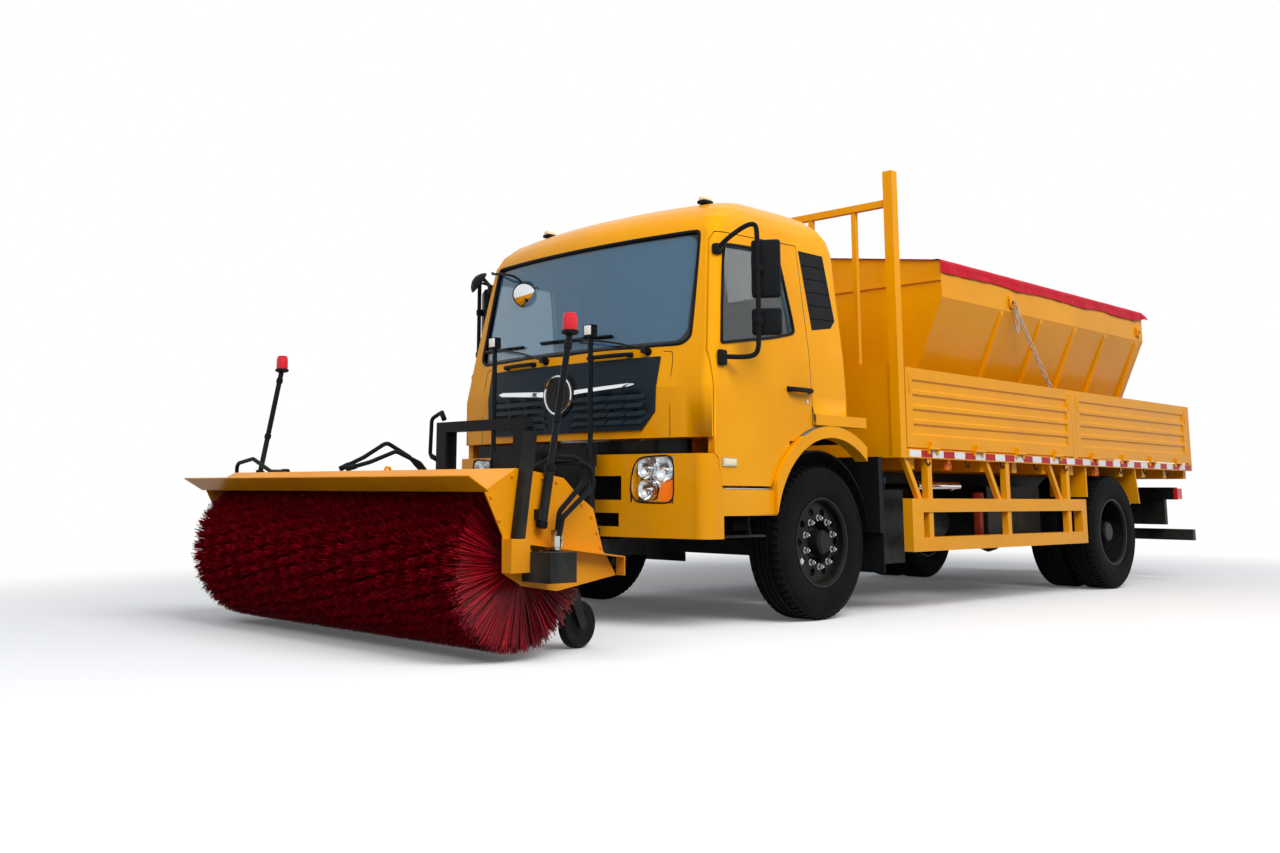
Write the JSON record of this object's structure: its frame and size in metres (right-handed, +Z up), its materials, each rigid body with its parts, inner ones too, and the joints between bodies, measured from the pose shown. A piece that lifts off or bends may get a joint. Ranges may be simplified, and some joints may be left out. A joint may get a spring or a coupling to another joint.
{
  "type": "gritter truck",
  "caption": "Winter road truck: short cab, drop-side bed with a salt hopper and spinner, rotary snow brush on a lifting frame at the nose.",
  "frame": {"origin": "on the road under the middle of the whole machine", "axes": "+X towards the nose and the brush, +Y to the driver's left, +Z up"},
  "size_m": [10.2229, 3.2, 3.2],
  "materials": {
    "yellow_paint": "gloss",
    "black_paint": "satin",
    "grey_paint": "satin",
    "tyre_rubber": "matt",
    "black_plastic": "matt",
    "red_bristle": "matt",
    "red_lens": "gloss",
    "clear_lens": "gloss",
    "window_glass": "gloss",
    "seat_fabric": "matt",
    "red_tarp": "satin",
    "bare_steel": "brushed",
    "cast": "matt",
    "chain_steel": "brushed"
  },
  "bodies": {
    "chassis": {"bed_platform": "yellow_paint", "bumper": "yellow_paint", "cab_shell": "yellow_paint", "chassis_frame": "black_paint", "chassis_tanks": "black_paint", "dashboard": "black_plastic", "engine_and_shaft": "grey_paint", "front_axle_beam": "cast", "front_mudguards": "black_plastic", "grille_panel": "black_plastic", "headboard": "yellow_paint", "headlamps": "clear_lens", "hitch_mount": "black_paint", "hopper": "yellow_paint", "hopper_tarp": "red_tarp", "leaf_springs": "cast", "lifting_chain": "chain_steel", "quarter_vents": "black_plastic", "rear_axle_casing": "cast", "rear_bars": "black_paint", "seats": "seat_fabric", "side_guards": "yellow_paint", "spreader_outlet": "yellow_paint", "tail_lamps": "red_lens", "windscreen": "window_glass"},
    "lift_arm": {"lift_arm": "black_paint"},
    "ram_barrel": {"lift_ram_barrel": "black_paint"},
    "ram_rod": {"lift_ram_rod": "bare_steel"},
    "brush_head": {"swing_frame": "black_paint", "brush_hood": "yellow_paint", "brush_fittings": "black_paint", "beacon_lamps": "red_lens", "brush_hoses": "black_plastic"},
    "rotor": {"brush_core": "black_paint", "brush_bristles": "red_bristle"},
    "spinner": {"spinner_disc": "bare_steel"},
    "knuckle_left": {"knuckle_left": "cast"},
    "front_wheel_left": {"front_tyre_left": "tyre_rubber", "front_rim_left": "black_paint"},
    "rear_wheel_left": {"rear_tyres_left": "tyre_rubber", "rear_rims_left": "black_paint"},
    "door_left": {"door_left": "yellow_paint", "door_glass_left": "window_glass", "mirror_left": "black_plastic"},
    "board_left_front": {"board_left_front": "yellow_paint"},
    "board_left_rear": {"board_left_rear": "yellow_paint"},
    "caster_fork_left": {"caster_fork_left": "black_paint"},
    "caster_wheel_left": {"caster_wheel_left": "black_plastic"},
    "knuckle_right": {"knuckle_right": "cast"},
    "front_wheel_right": {"front_tyre_right": "tyre_rubber", "front_rim_right": "black_paint"},
    "rear_wheel_right": {"rear_tyres_right": "tyre_rubber", "rear_rims_right": "black_paint"},
    "door_right": {"door_right": "yellow_paint", "door_glass_right": "window_glass", "mirror_right": "black_plastic"},
    "board_right_front": {"board_right_front": "yellow_paint"},
    "board_right_rear": {"board_right_rear": "yellow_paint"},
    "caster_fork_right": {"caster_fork_right": "black_paint"},
    "caster_wheel_right": {"caster_wheel_right": "black_plastic"}
  },
  "joints": [
    {"name": "steer_left", "type": "hinge", "parent": "chassis", "child": "knuckle_left", "pos_m": [1.81, 0.8, 0.508], "axis": [0, 0, 1], "range_deg": [-35, 35]},
    {"name": "front_wheel_left_roll", "type": "hinge", "parent": "knuckle_left", "child": "front_wheel_left", "pos_m": [1.81, 1, 0.508], "axis": [0, 1, 0], "continuous": true},
    {"name": "rear_wheel_left_roll", "type": "hinge", "parent": "chassis", "child": "rear_wheel_left", "pos_m": [-2.633, 1, 0.508], "axis": [0, 1, 0], "continuous": true},
    {"name": "door_left_open", "type": "hinge", "parent": "chassis", "child": "door_left", "pos_m": [2.975, 1.185, 1.7], "axis": [0, 0, -1], "range_deg": [0, 70]},
    {"name": "board_left_front_drop", "type": "hinge", "parent": "chassis", "child": "board_left_front", "pos_m": [-0.46, 1.264, 1.162], "axis": [-1, 0, 0], "range_deg": [0, 180]},
    {"name": "board_left_rear_drop", "type": "hinge", "parent": "chassis", "child": "board_left_rear", "pos_m": [-3.21, 1.264, 1.162], "axis": [-1, 0, 0], "range_deg": [0, 180]},
    {"name": "steer_right", "type": "hinge", "parent": "chassis", "child": "knuckle_right", "pos_m": [1.81, -0.8, 0.508], "axis": [0, 0, 1], "range_deg": [-35, 35]},
    {"name": "front_wheel_right_roll", "type": "hinge", "parent": "knuckle_right", "child": "front_wheel_right", "pos_m": [1.81, -1, 0.508], "axis": [0, 1, 0], "continuous": true},
    {"name": "rear_wheel_right_roll", "type": "hinge", "parent": "chassis", "child": "rear_wheel_right", "pos_m": [-2.633, -1, 0.508], "axis": [0, 1, 0], "continuous": true},
    {"name": "door_right_open", "type": "hinge", "parent": "chassis", "child": "door_right", "pos_m": [2.975, -1.185, 1.7], "axis": [0, 0, 1], "range_deg": [0, 70]},
    {"name": "board_right_front_drop", "type": "hinge", "parent": "chassis", "child": "board_right_front", "pos_m": [-0.46, -1.264, 1.162], "axis": [1, 0, 0], "range_deg": [0, 180]},
    {"name": "board_right_rear_drop", "type": "hinge", "parent": "chassis", "child": "board_right_rear", "pos_m": [-3.21, -1.264, 1.162], "axis": [1, 0, 0], "range_deg": [0, 180]},
    {"name": "brush_lift", "type": "hinge", "parent": "chassis", "child": "lift_arm", "pos_m": [3.41, 0, 0.62], "axis": [0, -1, 0], "range_deg": [0, 12]},
    {"name": "ram_swing", "type": "hinge", "parent": "chassis", "child": "ram_barrel", "pos_m": [3.41, 0, 1.04], "axis": [0, 1, 0], "range_deg": [0, 2.2]},
    {"name": "ram_slide", "type": "slide", "parent": "ram_barrel", "child": "ram_rod", "axis": [0.2822, 0, -0.9594], "range_m": [-0.03, 0]},
    {"name": "brush_swing", "type": "hinge", "parent": "lift_arm", "child": "brush_head", "pos_m": [3.66, 0, 0.7], "axis": [0, 0, 1], "range_deg": [-25, 25]},
    {"name": "brush_spin", "type": "hinge", "parent": "brush_head", "child": "rotor", "pos_m": [4.671, 0, 0.468], "axis": [0, 1, 0], "continuous": true},
    {"name": "caster_left_swivel", "type": "hinge", "parent": "brush_head", "child": "caster_fork_left", "pos_m": [4.13, 1.1, 0.4], "axis": [0, 0, 1], "continuous": true},
    {"name": "caster_left_roll", "type": "hinge", "parent": "caster_fork_left", "child": "caster_wheel_left", "pos_m": [4.07, 1.1, 0.125], "axis": [0, 1, 0], "continuous": true},
    {"name": "caster_right_swivel", "type": "hinge", "parent": "brush_head", "child": "caster_fork_right", "pos_m": [4.13, -1.1, 0.4], "axis": [0, 0, 1], "continuous": true},
    {"name": "caster_right_roll", "type": "hinge", "parent": "caster_fork_right", "child": "caster_wheel_right", "pos_m": [4.07, -1.1, 0.125], "axis": [0, 1, 0], "continuous": true},
    {"name": "spinner_spin", "type": "hinge", "parent": "chassis", "child": "spinner", "pos_m": [-4.81, 0, 0.504], "axis": [0, 0, 1], "continuous": true}
  ],
  "couplings": [
    {"joint": "ram_swing", "follows": "brush_lift", "ratio": 0.18292},
    {"joint": "ram_slide", "follows": "brush_lift", "m_per_rad": -0.11142}
  ]
}
